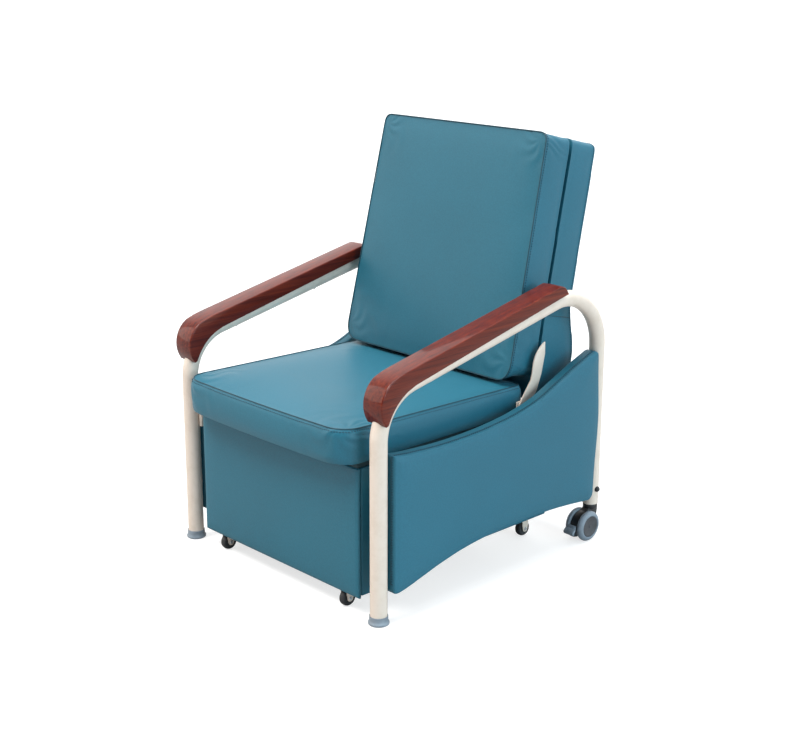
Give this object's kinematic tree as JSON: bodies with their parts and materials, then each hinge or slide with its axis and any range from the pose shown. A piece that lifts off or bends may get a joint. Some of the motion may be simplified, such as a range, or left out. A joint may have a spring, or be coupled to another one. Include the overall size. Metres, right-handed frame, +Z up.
{
  "type": "patient recliner chair",
  "caption": "Patient recliner with bent steel sides, wooden armrests, vinyl cushions and a pull-out seat that makes a flat bed.",
  "frame": {"origin": "on the floor, under the middle of the chair's bounding box at rest", "axes": "+Z up, -Y the way the sitter faces, +X towards the sitter's left"},
  "size_m": [0.7196, 0.8293, 0.9966],
  "materials": {
    "side_tube_left": "gloss",
    "foot_left": "matte",
    "bolt_cap_left": "satin",
    "armrest_left": "gloss lacquer",
    "armrest_screw_left_front": "satin",
    "armrest_screw_left_rear": "satin",
    "side_panel_left": "satin vinyl over board",
    "upper_rail_left": "gloss",
    "slide_channel_left": "gloss",
    "side_tube_right": "gloss",
    "foot_right": "matte",
    "bolt_cap_right": "satin",
    "armrest_right": "gloss lacquer",
    "armrest_screw_right_front": "satin",
    "armrest_screw_right_rear": "satin",
    "side_panel_right": "satin vinyl over board",
    "upper_rail_right": "gloss",
    "slide_channel_right": "gloss",
    "rear_cross_tube": "gloss",
    "hinge_tube": "gloss",
    "support_tube": "gloss",
    "seat_cushion": "satin vinyl over foam",
    "front_panel": "satin vinyl over board",
    "seat_rear_board": "matte",
    "seat_board": "matte",
    "base_cross_rail": "gloss",
    "seat_side_board_left": "satin vinyl over board",
    "base_rail_left": "gloss",
    "runner_left": "satin",
    "hinge_lug_left": "gloss",
    "hinge_pin_left": "satin",
    "small_fork_front_left": "gloss",
    "small_fork_rear_left": "gloss",
    "seat_side_board_right": "satin vinyl over board",
    "base_rail_right": "gloss",
    "runner_right": "satin",
    "hinge_lug_right": "gloss",
    "hinge_pin_right": "satin",
    "small_fork_front_right": "gloss",
    "small_fork_rear_right": "gloss",
    "back_cushion": "satin vinyl over foam",
    "back_board": "matte",
    "link_plate_left": "gloss",
    "link_plate_right": "gloss",
    "rear_pad": "satin vinyl over foam",
    "rear_pad_board": "matte",
    "pad_bracket_left": "gloss",
    "pad_bracket_right": "gloss",
    "caster_housing_left": "satin",
    "caster_wheel_left_outer": "satin",
    "caster_wheel_left_inner": "satin",
    "brake_pedal_left": "satin",
    "caster_housing_right": "satin",
    "caster_wheel_right_outer": "satin",
    "caster_wheel_right_inner": "satin",
    "brake_pedal_right": "satin",
    "small_wheel_front_left": "satin",
    "small_wheel_front_right": "satin",
    "small_wheel_rear_left": "satin",
    "small_wheel_rear_right": "satin"
  },
  "bodies": {
    "frame": {"side_tube_left": "side_tube_left", "foot_left": "foot_left", "bolt_cap_left": "bolt_cap_left", "armrest_left": "armrest_left", "armrest_screw_left_front": "armrest_screw_left_front", "armrest_screw_left_rear": "armrest_screw_left_rear", "side_panel_left": "side_panel_left", "upper_rail_left": "upper_rail_left", "slide_channel_left": "slide_channel_left", "side_tube_right": "side_tube_right", "foot_right": "foot_right", "bolt_cap_right": "bolt_cap_right", "armrest_right": "armrest_right", "armrest_screw_right_front": "armrest_screw_right_front", "armrest_screw_right_rear": "armrest_screw_right_rear", "side_panel_right": "side_panel_right", "upper_rail_right": "upper_rail_right", "slide_channel_right": "slide_channel_right", "rear_cross_tube": "rear_cross_tube", "hinge_tube": "hinge_tube", "support_tube": "support_tube"},
    "seat_unit": {"seat_cushion": "seat_cushion", "front_panel": "front_panel", "seat_rear_board": "seat_rear_board", "seat_board": "seat_board", "base_cross_rail": "base_cross_rail", "seat_side_board_left": "seat_side_board_left", "base_rail_left": "base_rail_left", "runner_left": "runner_left", "hinge_lug_left": "hinge_lug_left", "hinge_pin_left": "hinge_pin_left", "small_fork_front_left": "small_fork_front_left", "small_fork_rear_left": "small_fork_rear_left", "seat_side_board_right": "seat_side_board_right", "base_rail_right": "base_rail_right", "runner_right": "runner_right", "hinge_lug_right": "hinge_lug_right", "hinge_pin_right": "hinge_pin_right", "small_fork_front_right": "small_fork_front_right", "small_fork_rear_right": "small_fork_rear_right"},
    "back_section": {"back_cushion": "back_cushion", "back_board": "back_board", "link_plate_left": "link_plate_left", "link_plate_right": "link_plate_right"},
    "rear_section": {"rear_pad": "rear_pad", "rear_pad_board": "rear_pad_board", "pad_bracket_left": "pad_bracket_left", "pad_bracket_right": "pad_bracket_right"},
    "caster_left": {"caster_housing_left": "caster_housing_left"},
    "caster_wheel_left_outer": {"caster_wheel_left_outer": "caster_wheel_left_outer"},
    "caster_wheel_left_inner": {"caster_wheel_left_inner": "caster_wheel_left_inner"},
    "brake_pedal_left": {"brake_pedal_left": "brake_pedal_left"},
    "caster_right": {"caster_housing_right": "caster_housing_right"},
    "caster_wheel_right_outer": {"caster_wheel_right_outer": "caster_wheel_right_outer"},
    "caster_wheel_right_inner": {"caster_wheel_right_inner": "caster_wheel_right_inner"},
    "brake_pedal_right": {"brake_pedal_right": "brake_pedal_right"},
    "small_wheel_front_left": {"small_wheel_front_left": "small_wheel_front_left"},
    "small_wheel_front_right": {"small_wheel_front_right": "small_wheel_front_right"},
    "small_wheel_rear_left": {"small_wheel_rear_left": "small_wheel_rear_left"},
    "small_wheel_rear_right": {"small_wheel_rear_right": "small_wheel_rear_right"}
  },
  "joints": [
    {"name": "seat_slide", "type": "slide", "parent": "frame", "child": "seat_unit", "axis": [0, -1, 0], "range_m": [0, 0.45]},
    {"name": "back_fold", "type": "hinge", "parent": "seat_unit", "child": "back_section", "pos_m": [0, 0.1414, 0.376], "axis": [-1, 0, 0], "range_deg": [0, 77]},
    {"name": "rear_recline", "type": "hinge", "parent": "frame", "child": "rear_section", "pos_m": [0, 0.3034, 0.3], "axis": [-1, 0, 0], "range_deg": [0, 77]},
    {"name": "caster_swivel_left", "type": "hinge", "parent": "frame", "child": "caster_left", "pos_m": [0.33, 0.3614, 0.0375], "axis": [0, 0, 1], "continuous": true},
    {"name": "caster_wheel_spin_left_outer", "type": "hinge", "parent": "caster_left", "child": "caster_wheel_left_outer", "pos_m": [0.349, 0.3344, 0.0375], "axis": [1, 0, 0], "continuous": true},
    {"name": "caster_wheel_spin_left_inner", "type": "hinge", "parent": "caster_left", "child": "caster_wheel_left_inner", "pos_m": [0.311, 0.3344, 0.0375], "axis": [1, 0, 0], "continuous": true},
    {"name": "brake_pedal_tilt_left", "type": "hinge", "parent": "caster_left", "child": "brake_pedal_left", "pos_m": [0.33, 0.3084, 0.0385], "axis": [1, 0, 0], "range_deg": [0, 15]},
    {"name": "caster_swivel_right", "type": "hinge", "parent": "frame", "child": "caster_right", "pos_m": [-0.33, 0.3614, 0.0375], "axis": [0, 0, 1], "continuous": true},
    {"name": "caster_wheel_spin_right_outer", "type": "hinge", "parent": "caster_right", "child": "caster_wheel_right_outer", "pos_m": [-0.349, 0.3344, 0.0375], "axis": [1, 0, 0], "continuous": true},
    {"name": "caster_wheel_spin_right_inner", "type": "hinge", "parent": "caster_right", "child": "caster_wheel_right_inner", "pos_m": [-0.311, 0.3344, 0.0375], "axis": [1, 0, 0], "continuous": true},
    {"name": "brake_pedal_tilt_right", "type": "hinge", "parent": "caster_right", "child": "brake_pedal_right", "pos_m": [-0.33, 0.3084, 0.0385], "axis": [1, 0, 0], "range_deg": [0, 15]},
    {"name": "small_wheel_spin_front_left", "type": "hinge", "parent": "seat_unit", "child": "small_wheel_front_left", "pos_m": [0.215, -0.3361, 0.0195], "axis": [1, 0, 0], "continuous": true},
    {"name": "small_wheel_spin_front_right", "type": "hinge", "parent": "seat_unit", "child": "small_wheel_front_right", "pos_m": [-0.215, -0.3361, 0.0195], "axis": [1, 0, 0], "continuous": true},
    {"name": "small_wheel_spin_rear_left", "type": "hinge", "parent": "seat_unit", "child": "small_wheel_rear_left", "pos_m": [0.215, 0.2424, 0.0195], "axis": [1, 0, 0], "continuous": true},
    {"name": "small_wheel_spin_rear_right", "type": "hinge", "parent": "seat_unit", "child": "small_wheel_rear_right", "pos_m": [-0.215, 0.2424, 0.0195], "axis": [1, 0, 0], "continuous": true}
  ],
  "couplings": [
    {"joint": "back_fold", "follows": "seat_slide", "rad_per_m": 2.9863},
    {"joint": "rear_recline", "follows": "seat_slide", "rad_per_m": 2.9863}
  ]
}
